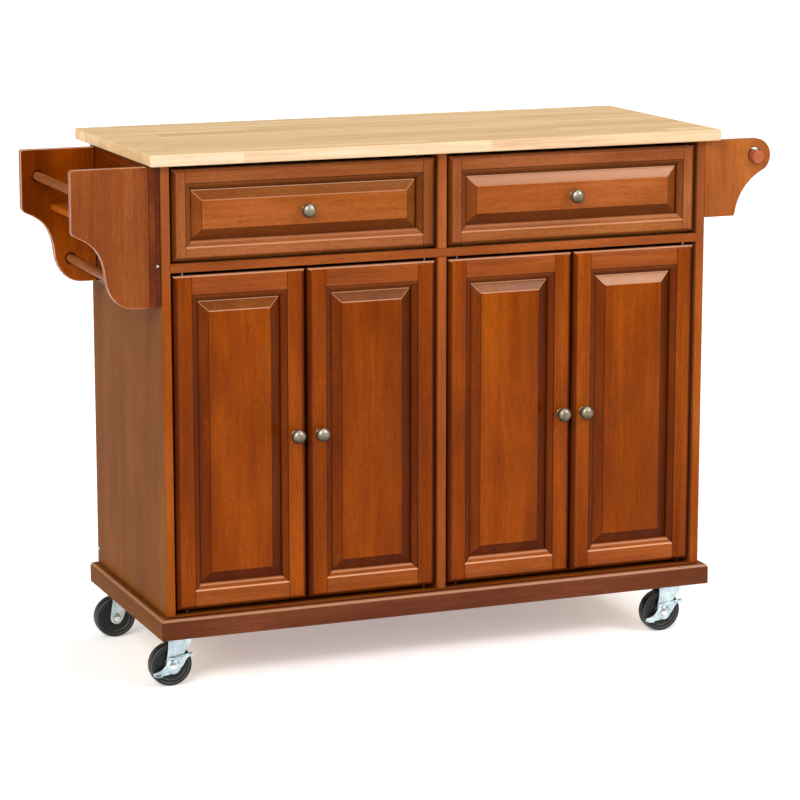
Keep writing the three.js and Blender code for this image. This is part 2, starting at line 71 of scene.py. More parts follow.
# Stains, each as the darkest, middle and lightest tone of its grain.
DOOR_TONES = (srgb(86, 31, 0), srgb(110, 45, 2), srgb(136, 63, 6))
DOOR_RAIL_TONES = (srgb(96, 42, 12), srgb(122, 58, 20), srgb(146, 76, 30))
DRAWER_TONES = (srgb(106, 48, 10), srgb(130, 65, 24), srgb(150, 82, 40))
DRAWER_FRAME_TONES = (srgb(98, 46, 18), srgb(123, 65, 31), srgb(146, 86, 48))
RAIL_TONES = (srgb(96, 40, 2), srgb(122, 57, 13), srgb(148, 77, 30))
SIDE_TONES = (srgb(102, 54, 16), srgb(115, 64, 22), srgb(128, 75, 30))
BACK_TONES = (srgb(100, 50, 24), srgb(113, 59, 31), srgb(126, 70, 40))
RACK_TONES = (srgb(94, 40, 6), srgb(118, 57, 18), srgb(142, 76, 32))
# The rack's back board's front end: a darker copy of the rack's stain, painted shade beside the side panel.
RACK_END_TONES = (srgb(70, 22, 0), srgb(90, 34, 2), srgb(110, 48, 8))
RACK_INNER_TONES = (srgb(75, 24, 0), srgb(94, 35, 0), srgb(115, 52, 6))
DOWEL_TONES = (srgb(108, 56, 24), srgb(130, 74, 38), srgb(156, 98, 60))
SHELF_TONES = (srgb(128, 54, 8), srgb(152, 70, 16), srgb(172, 88, 30))
BRACKET_TONES = (srgb(118, 58, 14), srgb(140, 75, 26), srgb(162, 95, 42))
BAR_TONES = (srgb(122, 56, 32), srgb(142, 72, 46), srgb(160, 88, 60))
PLINTH_TONES = (srgb(64, 24, 4), srgb(84, 37, 14), srgb(104, 53, 28))
PLINTH_END_TONES = (srgb(92, 46, 14), srgb(108, 60, 24), srgb(124, 76, 36))
BATTEN_TONES = (srgb(62, 20, 2), srgb(80, 30, 6), srgb(98, 42, 12))
INSIDE_TONES = (srgb(108, 48, 8), srgb(132, 64, 18), srgb(152, 82, 32))
SILL_TONES = (srgb(96, 30, 2), srgb(120, 42, 4), srgb(142, 58, 12))
RIM_TONES = (srgb(168, 110, 74), srgb(190, 132, 96), srgb(210, 154, 118))
MAPLE_TONES = (srgb(180, 136, 90), srgb(204, 169, 118), srgb(222, 191, 146))
PLAIN_TONES = (srgb(196, 158, 108), srgb(218, 184, 136), srgb(232, 204, 160))
# Colours laid over a stain.
# A dark stain in the pores, also used for painted shade in the fronts' recesses.
GLAZE_AND_SHADE = srgb(38, 14, 4)
# Painted highlight on upward-facing edges, rims and bevels.
EDGE_HIGHLIGHT = srgb(226, 170, 132)
UPPER_POST = srgb(131, 101, 84)
MAPLE_PORE = srgb(150, 104, 60)
MAPLE_SEAM = srgb(160, 112, 66)
# Multipliers on a colour.
GOLDEN = (1.02, 1.12, 0.66, 1.0)
# Painted shade on the fronts' faces turned from the light.
SHADE = (0.4, 0.33, 0.05, 1.0)
# Painted shade on the fronts' upper bevels.
UPPER_BEVEL_SHADE = (0.72, 0.84, 0.98, 1.0)
# Painted shade on the knobs' lower halves.
UNDERSIDE_SHADE = (0.26, 0.235, 0.19, 1.0)
# Painted sheen: the worktop's front edge tinted cooler.
MAPLE_FRONT_SHEEN = (0.92, 0.97, 1.28, 1.0)
# Painted light: the worktop's cut ends lightened.
MAPLE_END_LIGHT = (1.22, 1.2, 1.24, 1.0)
# Painted shade on the rack's front end, towards the side panel.
RACK_END_PAINTED_SHADE = (0.78, 0.7, 0.66, 1.0)
# Painted light on the rack's rear end's inner face, where the shelf and the front end shade it.
RACK_INNER_PAINTED_LIGHT = (1.8, 2.0, 3.0, 1.0)
# Metal and plastic.
NICKEL_TONES = (srgb(176, 167, 150), srgb(140, 130, 112))
BLACK = srgb(9, 9, 9)
SCUFFED_BLACK = srgb(24, 24, 24)
# Painted highlight on the wheels' raised rings.
RIDGE_HIGHLIGHT = srgb(84, 84, 80)

# ---- Shader graphs --------------------------------------------------------


class Graph:
    """One material's node tree. An input is a number, a tuple or another node's output."""

    def __init__(self, name):
        self.material = bpy.data.materials.new(name)
        self.material.use_nodes = True
        self.tree = self.material.node_tree
        self.tree.nodes.clear()

    def node(self, kind, inputs=None, **settings):
        made = self.tree.nodes.new("ShaderNode" + kind)
        for key, value in settings.items():
            setattr(made, key, value)
        for key, value in (inputs or {}).items():
            if isinstance(value, bpy.types.NodeSocket):
                self.tree.links.new(value, made.inputs[key])
            else:
                made.inputs[key].default_value = value
        return made

    def math(self, operation, first, second=0.0, third=0.0):
        return self.node("Math", {0: first, 1: second, 2: third}, operation=operation).outputs[0]

    def place(self):
        """The point's position at rest, in the row frame."""
        return self.node("TexCoord").outputs["Object"]

    def along(self):
        """The point's X, Y and Z, as three outputs."""
        return self.node("SeparateXYZ", {0: self.place()}).outputs

    def from_axle(self, x, z):
        """The point's distance from a line along Y."""
        flat = self.node("VectorMath", {0: self.place(), 1: (1.0, 0.0, 1.0)}, operation="MULTIPLY")
        apart = self.node("VectorMath", {0: flat.outputs[0], 1: (x, 0.0, z)}, operation="DISTANCE")
        return apart.outputs["Value"]

    def stretched(self, scale, offset):
        """The point's position scaled along each axis and moved, to feed a noise."""
        return self.node("Mapping", {"Vector": self.place(), "Location": offset, "Scale": scale}).outputs[0]

    def noise(self, vector, scale, detail=2.0, roughness=0.5, distortion=0.0):
        settings = {"Scale": scale, "Detail": detail, "Roughness": roughness, "Distortion": distortion}
        return self.node("TexNoise", {"Vector": vector, **settings}).outputs[0]

    def fit(self, value, low, high, new_low=0.0, new_high=1.0, smooth=False):
        made = self.node(
            "MapRange",
            {"Value": value, "From Min": low, "From Max": high, "To Min": new_low, "To Max": new_high},
            interpolation_type="SMOOTHSTEP" if smooth else "LINEAR",
        )
        return made.outputs[0]

    def tones(self, value, colours, positions=(0.0, 0.5, 1.0)):
        """The colours in turn, darkest first, as the value rises through the positions."""
        return self.ramp(value, tuple(zip(positions, colours)))

    def ramp(self, value, stops):
        made = self.node("ValToRGB", {"Fac": value})
        elements = made.color_ramp.elements
        while len(elements) < len(stops):
            elements.new(0.5)
        for element, (position, colour) in zip(elements, stops):
            element.position = position
            element.color = colour
        return made.outputs[0]

    def mix(self, share, first, second, blend="MIX"):
        made = self.node("Mix", {0: share, 6: first, 7: second}, data_type="RGBA", blend_type=blend)
        return made.outputs[2]

    def bump(self, height, strength, distance):
        made = self.node("Bump", {"Height": height, "Strength": strength, "Distance": distance})
        return made.outputs[0]

    def surface(self, colour, roughness, normal=None, **constants):
        inputs = {"Base Color": colour, "Roughness": roughness}
        if normal is not None:
            inputs["Normal"] = normal
        shader = self.node("BsdfPrincipled", {**inputs, **constants})
        output = self.node("OutputMaterial")
        self.tree.links.new(shader.outputs[0], output.inputs[0])
        return self.material


# How a wood's streaks and clouds are drawn out along its grain, by the grain's axis.
GRAIN_SCALE = {
    "X": (0.045, 1.0, 1.0),
    "Y": (1.0, 0.045, 1.0),
    "Z": (1.0, 1.0, 0.045),
}
CLOUD_SCALE = {
    "X": (0.3, 1.0, 1.0),
    "Y": (1.0, 0.3, 1.0),
    "Z": (1.0, 1.0, 0.3),
}


def line(graph, distance, width):
    """1 where distance is nearly 0, falling smoothly to 0 at the line's half width."""
    away = graph.math("ABSOLUTE", distance)
    return graph.fit(away, width * 0.35, width, 1.0, 0.0, smooth=True)


def front_marks(graph, box, flat, is_drawer, sheen_share):
    """Masks for a raised-panel front: painted shade in its recesses and on faces turned from the light, dark
    joint lines, and painted highlights on its upward edges.

    A drawer's top edges get less painted highlight than a door's, because the worktop shades them. The
    last argument is how far a painted sheen lightens the panel's upper bevel, 0 to 1.
    """
    low, high = box
    inner = flat + STICKING
    field = inner + BEVEL_WIDTH
    along = graph.along()
    half_x, half_z = (high.x - low.x) / 2, (high.z - low.z) / 2
    from_x = graph.math("SUBTRACT", along[0], (low.x + high.x) / 2)
    from_z = graph.math("SUBTRACT", along[2], (low.z + high.z) / 2)
    inset_x = graph.math("SUBTRACT", half_x, graph.math("ABSOLUTE", from_x))
    inset_z = graph.math("SUBTRACT", half_z, graph.math("ABSOLUTE", from_z))
    inset = graph.math("MINIMUM", inset_x, inset_z)
    ends = graph.fit(graph.math("SUBTRACT", inset_x, inset_z), -0.4 * MM, 0.4 * MM)
    upper = graph.fit(from_z, -MM, MM)
    top = graph.math("MULTIPLY", ends, upper)
    bottom = graph.math("MULTIPLY", ends, graph.math("SUBTRACT", 1.0, upper))

    def lines(steps):
        """Lines round the front: each step is (inset in mm, half width in mm, share)."""
        found = None
        for step, width, share in steps:
            made = line(graph, graph.math("SUBTRACT", inset, step * MM), width * MM)
            made = graph.math("MULTIPLY", made, share)
            found = made if found is None else graph.math("MAXIMUM", found, made)
        return found

    def between(start, end):
        """1 from one inset in mm to another."""
        inside = graph.fit(inset, start * MM, (start + 0.8) * MM)
        return graph.math("MULTIPLY", inside, graph.fit(inset, (end - 0.8) * MM, end * MM, 1.0, 0.0))

    # Painted highlights along the bevel's upper mitres and the upward edges at the top.
    mitre = line(graph, graph.math("SUBTRACT", inset_x, inset_z), 1.2 * MM)
    mitre = graph.math("MULTIPLY", mitre, between(inner + 1, field))
    mitre = graph.math("MULTIPLY", mitre, graph.math("MULTIPLY", upper, 0.55))
    rim_share, crest_share = (0.2, 0.45) if is_drawer else (0.9, 0.7)
    crests = lines(((1.3, 1.7, rim_share), (inner + 1.6, 1.1, 0.85), (field - 0.3, 1.2, crest_share)))
    highlights = graph.math("MULTIPLY", top, crests)
    # The upper bevel: painted shade, and a painted sheen as strong as the last argument.
    crown = graph.math("MULTIPLY", between(inner + 0.8, field), top)
    highlights = graph.math("MAXIMUM", highlights, graph.math("MULTIPLY", crown, sheen_share))
    # Painted highlights on the bottom rail's upward edges.
    lip_share, ridge_share = (0.55, 0.2) if is_drawer else (0.85, 0.4)
    below = lines(((flat + 0.3, 2.0, lip_share), (inner - 2.6, 2.2, ridge_share)))
    below = graph.math("MULTIPLY", bottom, below)
    highlights = graph.math("MAXIMUM", graph.math("MAXIMUM", highlights, below), mitre)
    # Painted shade in the recesses, weaker along the bottom, and dark joint lines between stiles and rails.
    shade_lines_and_joints = lines(((flat + 0.5, 1.4, 0.8), (inner + 0.5, 1.6, 1.0), (field - 0.7, 0.8, 0.45)))
    shade_lines_and_joints = graph.math("MULTIPLY", shade_lines_and_joints, graph.math("MULTIPLY_ADD", bottom, -0.7, 1.0))
    joint = line(graph, graph.math("SUBTRACT", inset_x, flat * MM), 0.9 * MM)
    beyond = graph.fit(inset_z, flat * MM, (flat + 1) * MM, 0.8, 0.0)
    shade_lines_and_joints = graph.math("MAXIMUM", shade_lines_and_joints, graph.math("MULTIPLY", joint, beyond))
    shade_lines_and_joints = graph.math("SUBTRACT", shade_lines_and_joints, highlights)
    # Painted shade on the outer rounding and the bevels, most at the bottom and the right, none along the
    # top, and on the sticking, least along the bottom.
    right = graph.fit(from_x, -MM, MM)
    right = graph.math("MULTIPLY", right, graph.math("SUBTRACT", 1.0, ends))
    strip = graph.fit(inset, 5.0 * MM, 8.0 * MM, 1.3, 0.0)
    right_share = 0.15 if is_drawer else 0.4
    deep = graph.math("MULTIPLY_ADD", bottom, 0.75, graph.math("MULTIPLY_ADD", right, right_share, 0.5))
    bevel = graph.math("MULTIPLY", between(inner, field), deep)
    shade = graph.math("MAXIMUM", strip, bevel)
    shade = graph.math("MULTIPLY", shade, graph.math("SUBTRACT", 1.0, top))
    hollow = graph.fit(inset, (flat + 1) * MM, inner * MM, -0.25, 0.9)
    sticking = graph.math("MULTIPLY_ADD", top, hollow, 0.7)
    sticking = graph.math("MULTIPLY", between(flat + 0.6, inner), sticking)
    sticking = graph.math("MULTIPLY", sticking, graph.math("MULTIPLY_ADD", bottom, -0.9, 1.0))
    return shade_lines_and_joints, graph.math("MAXIMUM", shade, sticking), highlights, crown


def stained_wood(
    name, tones, grain, seed, front=None, edge=None, rim=None, aside=None, sheen=0.24, gloss=0.1
):
    """Smooth stained and lacquered wood with faint streaks along the grain and a cloudy stain.

    front holds front_marks' arguments. edge is (front y, tones, browned) for a board's front edge, browned
    being how far that edge turns to UPPER_POST beside the drawers. rim is (top height, width) of a moulding
    with a painted highlight along it. aside is (front y, start x, end x, factor): the front face takes the
    factor, painted shade or light, towards end x.
    """
    graph = Graph(name)
    offset = (seed * 1.37, seed * 2.11, seed * 0.73)
    fibre = graph.stretched(GRAIN_SCALE[grain], offset)
    cloud = graph.stretched(CLOUD_SCALE[grain], offset)
    clouds = graph.noise(cloud, 9.0, 3.0, 0.55, 0.3)
    streaks = graph.noise(fibre, 130.0, 6.0, 0.62, 0.4)
    bands = graph.noise(fibre, 34.0, 2.0, 0.5)
    speckle = graph.noise(cloud, 330.0, 3.0, 0.7)
    tone = graph.math("MULTIPLY_ADD", clouds, 0.46, graph.math("MULTIPLY", streaks, 0.17))
    tone = graph.math("MULTIPLY_ADD", bands, 0.17, tone)
    tone = graph.math("MULTIPLY_ADD", speckle, 0.2, tone)
    tone = graph.fit(tone, 0.36, 0.64)
    colour = graph.tones(tone, tones)
    golden = graph.fit(graph.noise(cloud, 5.0, 2.0, 0.5, 0.6), 0.46, 0.66)
    colour = graph.mix(graph.math("MULTIPLY", golden, 0.5), colour, GOLDEN, "MULTIPLY")
    if edge is not None:
        front_y, edge_tones, browned = edge
        banding = graph.tones(tone, edge_tones)
        along = graph.along()
        high_up = graph.fit(along[2], DECK_LOW - 60 * MM, DECK_LOW + 40 * MM)
        banding = graph.mix(graph.math("MULTIPLY", high_up, browned), banding, UPPER_POST)
        share = graph.fit(along[1], front_y + 0.5 * MM, front_y + 0.9 * MM, 1.0, 0.0)
        colour = graph.mix(share, colour, banding)
    # Painted light and shade: the front face is multiplied towards one side.
    if aside is not None:
        front_y, start, end, factor = aside
        along = graph.along()
        share = graph.fit(along[0], start, end, smooth=True)
        facing = graph.fit(along[1], front_y + MM, front_y + 3 * MM, 1.0, 0.0)
        colour = graph.mix(graph.math("MULTIPLY", share, facing), colour, factor, "MULTIPLY")
    # Painted highlight along the moulding's top edge.
    if rim is not None:
        top_z, rim_height = rim
        level = graph.math("SUBTRACT", graph.along()[2], top_z - rim_height / 2)
        mark = line(graph, level, rim_height / 2)
        colour = graph.mix(graph.math("MULTIPLY", mark, 0.3), colour, EDGE_HIGHLIGHT)
    pores = graph.fit(graph.noise(fibre, 620.0, 2.0, 0.5), 0.62, 0.7)
    colour = graph.mix(graph.math("MULTIPLY", pores, 0.28), colour, GLAZE_AND_SHADE)
    if front is not None:
        # A raised-panel front's painted shade, painted highlights and sheen, and dark joint lines.
        shade_lines_and_joints, shade, highlights, crown = front_marks(graph, *front)
        colour = graph.mix(shade, colour, SHADE, "MULTIPLY")
        colour = graph.mix(crown, colour, UPPER_BEVEL_SHADE, "MULTIPLY")
        colour = graph.mix(graph.math("MULTIPLY", shade_lines_and_joints, 0.85), colour, GLAZE_AND_SHADE)
        colour = graph.mix(graph.math("MULTIPLY", highlights, 0.62), colour, EDGE_HIGHLIGHT)
    roughness = graph.fit(streaks, 0.3, 0.7, sheen - 0.04, sheen + 0.08)
    relief = graph.math("MULTIPLY_ADD", pores, -0.5, streaks)
    normal = graph.bump(relief, 0.12, 0.0004)
    return graph.surface(colour, roughness, normal, **{"Specular IOR Level": gloss})


def rack_rim_tone(name, node, dowels):
    """The rack end boards' rounded edges: lighter all along, with painted shadow round the dowel sockets and
    along the rack's back.
    """
    graph = Graph(name)
    back_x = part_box(node)[1].x
    share = graph.fit(graph.along()[0], back_x - 4 * MM, back_x - 3 * MM, 1.0, 0.0)
    for dowel in dowels:
        low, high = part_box(dowel)
        apart = graph.from_axle((low.x + high.x) / 2, (low.z + high.z) / 2)
        share = graph.math("MULTIPLY", share, graph.fit(apart, 13 * MM, 15 * MM))
    stain = graph.noise(graph.stretched(CLOUD_SCALE["Z"], (3.1, 1.7, 0.4)), 90.0, 4.0, 0.6)
    colour = graph.tones(stain, RIM_TONES, (0.3, 0.5, 0.7))
    # Painted shadow: the edges stay dark round the dowel sockets and along the rack's back.
    colour = graph.mix(share, RACK_INNER_TONES[0], colour)
    return graph.surface(colour, 0.4, graph.bump(stain, 0.1, 0.0003), **{"Specular IOR Level": 0.02})


def butcher_block(name):
    """Strips along X, made of blocks of different tone butted end to end, with painted light on the cut ends
    and a painted sheen on the front edge.
    """
    graph = Graph(name)
    along_x, along_y, _ = graph.along()
    strip_width, block_length, seam_width = 41.5 * MM, 360 * MM, 0.7 * MM
    strip = graph.math("FLOOR", graph.math("DIVIDE", along_y, strip_width))
    shift = graph.node("TexWhiteNoise", {"W": strip}, noise_dimensions="1D").outputs[0]
    length = graph.math("MULTIPLY_ADD", shift, 0.18, block_length)
    run = graph.math("DIVIDE", along_x, length)
    run = graph.math("MULTIPLY_ADD", shift, 7.3, run)
    block = graph.math("FLOOR", run)
    key = graph.node("CombineXYZ", {0: block, 1: strip, 2: 3.7})
    chance = graph.node("TexWhiteNoise", {"Vector": key.outputs[0]}, noise_dimensions="3D")
    own = graph.node("VectorMath", {0: chance.outputs["Color"], 1: (9.0, 9.0, 9.0)}, operation="MULTIPLY")
    moved = graph.node("VectorMath", {0: graph.place(), 1: own.outputs[0]}, operation="ADD")
    fibre = graph.node("Mapping", {"Vector": moved.outputs[0], "Scale": (0.05, 1.0, 1.0)}).outputs[0]
    streaks = graph.noise(fibre, 150.0, 5.0, 0.6, 0.5)
    bands = graph.noise(fibre, 42.0, 2.0, 0.5, 0.3)
    fine = graph.noise(fibre, 420.0, 4.0, 0.65)
    tone = graph.math("MULTIPLY_ADD", chance.outputs[0], 0.12, 0.04)
    tone = graph.math("MULTIPLY_ADD", streaks, 0.4, tone)
    tone = graph.math("MULTIPLY_ADD", bands, 0.35, tone)
    tone = graph.math("MULTIPLY_ADD", fine, 0.2, tone)
    tone = graph.fit(tone, 0.36, 0.78)
    colour = graph.tones(tone, MAPLE_TONES)
    pores = graph.fit(graph.noise(fibre, 560.0, 2.0, 0.5), 0.6, 0.7)
    colour = graph.mix(graph.math("MULTIPLY", pores, 0.2), colour, MAPLE_PORE)
    across = graph.math("FRACT", graph.math("DIVIDE", along_y, strip_width))
    across = graph.math("MULTIPLY", graph.math("SUBTRACT", across, 0.5), strip_width)
    seam = line(graph, graph.math("SUBTRACT", strip_width / 2, graph.math("ABSOLUTE", across)), seam_width)
    spot = graph.math("MULTIPLY", graph.math("SUBTRACT", graph.math("FRACT", run), 0.5), length)
    half = graph.math("MULTIPLY", length, 0.5)
    butt = line(graph, graph.math("SUBTRACT", half, graph.math("ABSOLUTE", spot)), seam_width)
    joint = graph.math("MAXIMUM", seam, butt)
    colour = graph.mix(graph.math("MULTIPLY", joint, 0.35), colour, MAPLE_SEAM)
    low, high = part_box("top_board")
    # Painted sheen on the front edge and painted light on the cut ends.
    face = graph.fit(along_y, low.y + 0.5 * MM, low.y + 1.5 * MM, 1.0, 0.0)
    colour = graph.mix(face, colour, MAPLE_FRONT_SHEEN, "MULTIPLY")
    outer = graph.math("ABSOLUTE", graph.math("SUBTRACT", along_x, (low.x + high.x) / 2))
    end = graph.fit(outer, (high.x - low.x) / 2 - 1.5 * MM, (high.x - low.x) / 2 - 0.5 * MM)
    colour = graph.mix(end, colour, MAPLE_END_LIGHT, "MULTIPLY")
    normal = graph.bump(streaks, 0.08, 0.0003)
    return graph.surface(colour, 0.42, normal, **{"Specular IOR Level": 0.15})


def metal(name, colour, dark, roughness, scratch_scale, axis_scale=(1, 1, 1), underside_shade=None):
    """Bare or plated metal with fine brushing and faint stains.

    The last argument is (height, reach): painted shade darkens the metal below that height, over that reach
    up and down.
    """
    graph = Graph(name)
    stains = graph.noise(graph.stretched((1, 1, 1), (3, 1, 2)), 60.0, 4.0, 0.6)
    brushing = graph.noise(graph.stretched(axis_scale, (5, 4, 3)), scratch_scale, 3.0, 0.6)
    tint = graph.mix(graph.fit(stains, 0.35, 0.65), dark, colour)
    # Painted shade, darker below the height.
    if underside_shade is not None:
        height, reach = underside_shade
        level = graph.along()[2]
        share = graph.fit(level, height - reach * 0.75, height + reach * 0.9, 1.0, 0.0, smooth=True)
        tint = graph.mix(share, tint, UNDERSIDE_SHADE, "MULTIPLY")
    rough = graph.fit(brushing, 0.3, 0.7, roughness - 0.06, roughness + 0.08)
    normal = graph.bump(brushing, 0.08, 0.0002)
    return graph.surface(tint, rough, normal, **{"Metallic": 1.0})


WHEEL_RIDGES = (26.2, 31.6, 36.4)


def wheel_plastic(name, axle):
    """Hard black plastic with scuffs, and a painted highlight on its raised rings."""
    graph = Graph(name)
    scuffs = graph.noise(graph.stretched((1, 1, 1), (2, 8, 5)), 90.0, 5.0, 0.65)
    tint = graph.mix(graph.fit(scuffs, 0.42, 0.7), BLACK, SCUFFED_BLACK)
    radius = graph.from_axle(axle.x, axle.z)
    # Painted highlights on the raised rings.
    for ring in WHEEL_RIDGES:
        ridge = line(graph, graph.math("SUBTRACT", radius, ring * MM), 0.9 * MM)
        tint = graph.mix(graph.math("MULTIPLY", ridge, 0.7), tint, RIDGE_HIGHLIGHT)
    rough = graph.fit(scuffs, 0.3, 0.7, 0.31, 0.48)
    grain = graph.noise(graph.stretched((1, 1, 1), (1, 1, 1)), 1400.0, 2.0, 0.5)
    return graph.surface(tint, rough, graph.bump(grain, 0.1, 0.0002), **{"Specular IOR Level": 0.3})


ZINC = metal("bright_zinc", srgb(200, 213, 217), srgb(158, 176, 182), 0.28, 500.0, (1, 1, 0.2))
STEEL = metal("bright_steel", srgb(225, 225, 222), srgb(190, 190, 188), 0.2, 700.0)
PIN_STEEL = metal("dull_steel", srgb(132, 128, 122), srgb(96, 92, 88), 0.4, 700.0)
STAINED_PIN = metal("stained_steel", srgb(84, 54, 38), srgb(58, 36, 24), 0.45, 700.0)

# ---- Mesh helpers ---------------------------------------------------------


def mesh_from(bm, name, sharp_angle=32):
    """Uses up the bmesh for a smooth-shaded mesh, sharp where faces meet at more than the angle."""
    bmesh.ops.recalc_face_normals(bm, faces=bm.faces)
    mesh = bpy.data.meshes.new(name)
    bm.to_mesh(mesh)
    bm.free()
    mesh.shade_smooth()
    mesh.set_sharp_from_angle(angle=math.radians(sharp_angle))
    return mesh


def piece(name, mesh, material, body, replaced=()):
    """Adds a visible piece that rides on a body. replaced names the CAD nodes that it stands for."""
    made = bpy.data.objects.new(name, mesh)
    SCENE.collection.objects.link(made)
    mesh.materials.append(material)
    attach(made, body)
    if replaced:
        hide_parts(*replaced)


def add_lathe(bm, profile, centre, axis, segments=48):
    """Adds a solid of revolution. profile is (radius, height along axis) in mm; centre and axis in metres."""
    turn = Vector(axis).to_track_quat("Z", "X").to_matrix()
    rings = []
    for radius, height in profile:
        if radius <= 0:
            point = turn @ Vector((0, 0, height * MM)) + Vector(centre)
            rings.append([bm.verts.new(point)])
            continue
        ring = []
        for step in range(segments):
            angle = 2 * math.pi * step / segments
            point = Vector((radius * math.cos(angle), radius * math.sin(angle), height)) * MM
            ring.append(bm.verts.new(turn @ point + Vector(centre)))
        rings.append(ring)
    for lower, upper in zip(rings, rings[1:]):
        for step in range(segments):
            following = (step + 1) % segments
            corners = []
            for ring, index in ((lower, step), (lower, following), (upper, following), (upper, step)):
                vertex = ring[index % len(ring)]
                if vertex not in corners:
                    corners.append(vertex)
            if len(corners) > 2:
                bm.faces.new(corners)
    if len(rings[0]) > 1 and len(rings[-1]) > 1:
        if (Vector(profile[0]) - Vector(profile[-1])).length > 1e-6:
            bm.faces.new(list(reversed(rings[0])))
            bm.faces.new(rings[-1])
    bmesh.ops.remove_doubles(bm, verts=bm.verts, dist=1e-7)


def lathe(name, profile, centre, axis, segments=48, sharp_angle=32):
    bm = bmesh.new()
    add_lathe(bm, profile, centre, axis, segments)
    return mesh_from(bm, name, sharp_angle)


def smooth_profile(points, corners=(), steps=4):
    """A curve through the points, with sharp turns kept at the numbered corners."""
    made = []
    last = len(points) - 1
    for index in range(last):
        here, there = Vector(points[index]), Vector(points[index + 1])
        before = here if index == 0 or index in corners else Vector(points[index - 1])
        after = there if index + 1 == last or index + 1 in corners else Vector(points[index + 2])
        start = (there - before) / (1 if before == here else 2)
        end = (after - here) / (1 if after == there else 2)
        for step in range(steps):
            t = step / steps
            spot = (
                (2 * t**3 - 3 * t**2 + 1) * here
                + (t**3 - 2 * t**2 + t) * start
                + (3 * t**2 - 2 * t**3) * there
                + (t**3 - t**2) * end
            )
            made.append((max(spot.x, 0.0), spot.y))
    made.append(tuple(points[last]))
    return made


def add_box(bm, low, high):
    """Adds a box between two corners, in metres."""
    made = bmesh.ops.create_cube(bm, size=1.0)["verts"]
    low, high = Vector(low), Vector(high)
    for vertex in made:
        vertex.co = Vector(a + (b - a) * (c + 0.5) for a, b, c in zip(low, high, vertex.co))


def bevel_edges(bm, width, segments=2, angle=30):
    """Rounds the edges whose faces meet at more than the angle. width is in mm."""
    edges = [
        edge
        for edge in bm.edges
        if len(edge.link_faces) == 2 and edge.calc_face_angle(0) > math.radians(angle)
    ]
    size = {"offset": width * MM, "segments": segments, "profile": 0.5}
    bmesh.ops.bevel(bm, geom=edges, affect="EDGES", clamp_overlap=True, **size)


def add_plate_xz(bm, outline, y_low, y_high):
    """Adds a flat plate: outline is (x, z) in metres, extruded from y_low to y_high."""
    near = [bm.verts.new((x, y_low, z)) for x, z in outline]
    far = [bm.verts.new((x, y_high, z)) for x, z in outline]
    bm.faces.new(near)
    bm.faces.new(list(reversed(far)))
    count = len(outline)
    for index in range(count):
        following = (index + 1) % count
        bm.faces.new((near[following], near[index], far[index], far[following]))


def soften(node, width=0.8, segments=2, rim_slot=-1):
    """Rounds a CAD node's edges with modifiers, so that its own mesh stays as it is."""
    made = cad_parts[node]
    weld = made.modifiers.new("weld", "WELD")
    weld.merge_threshold = 0.00002
    flat = made.modifiers.new("flatten", "DECIMATE")
    flat.decimate_type = "DISSOLVE"
    flat.angle_limit = math.radians(0.6)
    bevel = made.modifiers.new("edges", "BEVEL")
    bevel.width = width * MM
    bevel.segments = segments
    bevel.limit_method = "ANGLE"
    bevel.angle_limit = math.radians(35)
    bevel.material = rim_slot
    smooth = made.modifiers.new("smooth", "NODES")
    smooth.node_group = SMOOTH_GROUP
    weighted = made.modifiers.new("weighted", "WEIGHTED_NORMAL")
    weighted.weight = 80
    return made


def smooth_group():
    """A geometry node group that shades its mesh smooth."""
    group = bpy.data.node_groups.new("shade_smooth", "GeometryNodeTree")
    group.interface.new_socket("Geometry", in_out="INPUT", socket_type="NodeSocketGeometry")
    group.interface.new_socket("Geometry", in_out="OUTPUT", socket_type="NodeSocketGeometry")
    entry = group.nodes.new("NodeGroupInput")
    shade = group.nodes.new("GeometryNodeSetShadeSmooth")
    leave = group.nodes.new("NodeGroupOutput")
    group.links.new(entry.outputs[0], shade.inputs[0])
    group.links.new(shade.outputs[0], leave.inputs[0])
    return group


SMOOTH_GROUP = smooth_group()


def dress(node, material, width=0.8, segments=2, rim_material=None):
    """Gives a CAD node its material and rounded edges. worn is a second material, for the roundings only."""
    made = soften(node, width, segments, -1 if rim_material is None else 1)
    made.data.materials.clear()
    made.data.materials.append(material)
    if rim_material is not None:
        made.data.materials.append(rim_material)


# ---- Raised-panel fronts --------------------------------------------------

# In mm: the flat width of the stiles and rails, then the moulded edge inside them and the panel's bevel.
DOOR_FLAT = 33.0
DRAWER_FLAT = 23.5
STICKING = 11.3
BEVEL_WIDTH = 19.0
# In mm behind the front face.
FRAME_THICK = 19.0
GROOVE_FRONT = 9.8
GROOVE_BACK = 16.0
STICKING_DEPTH = 9.2
BEVEL_TOP = 3.5
# In mm: the outer edges' rounding, the groove's reach into the frame, and the tongue's.
ROUNDING = 8.0
GROOVE_REACH = 8.3
TONGUE_REACH = 7.3
# How shiny the fronts' stain is.
FRONT_GLOSS = 0.05
# How far a painted sheen lightens the bevel above each panel's field.
BEVEL_SHEEN = {
    "drawer_left": 0.0,
    "drawer_right": 0.45,
    "door_1": 0.05,
    "door_2": 0.08,
    "door_3": 0.15,
    "door_4": 0.5,
}


def quarter(start, end, bulge_first, steps=7):
    """Points on a quarter ellipse from start to end, leaving start along its first or second number."""
    made = []
    for step in range(1, steps + 1):
        angle = math.pi / 2 * step / steps
        a, b = math.sin(angle), 1 - math.cos(angle)
        if not bulge_first:
            a, b = b, a
        made.append((start[0] + (end[0] - start[0]) * a, start[1] + (end[1] - start[1]) * b))
    return made


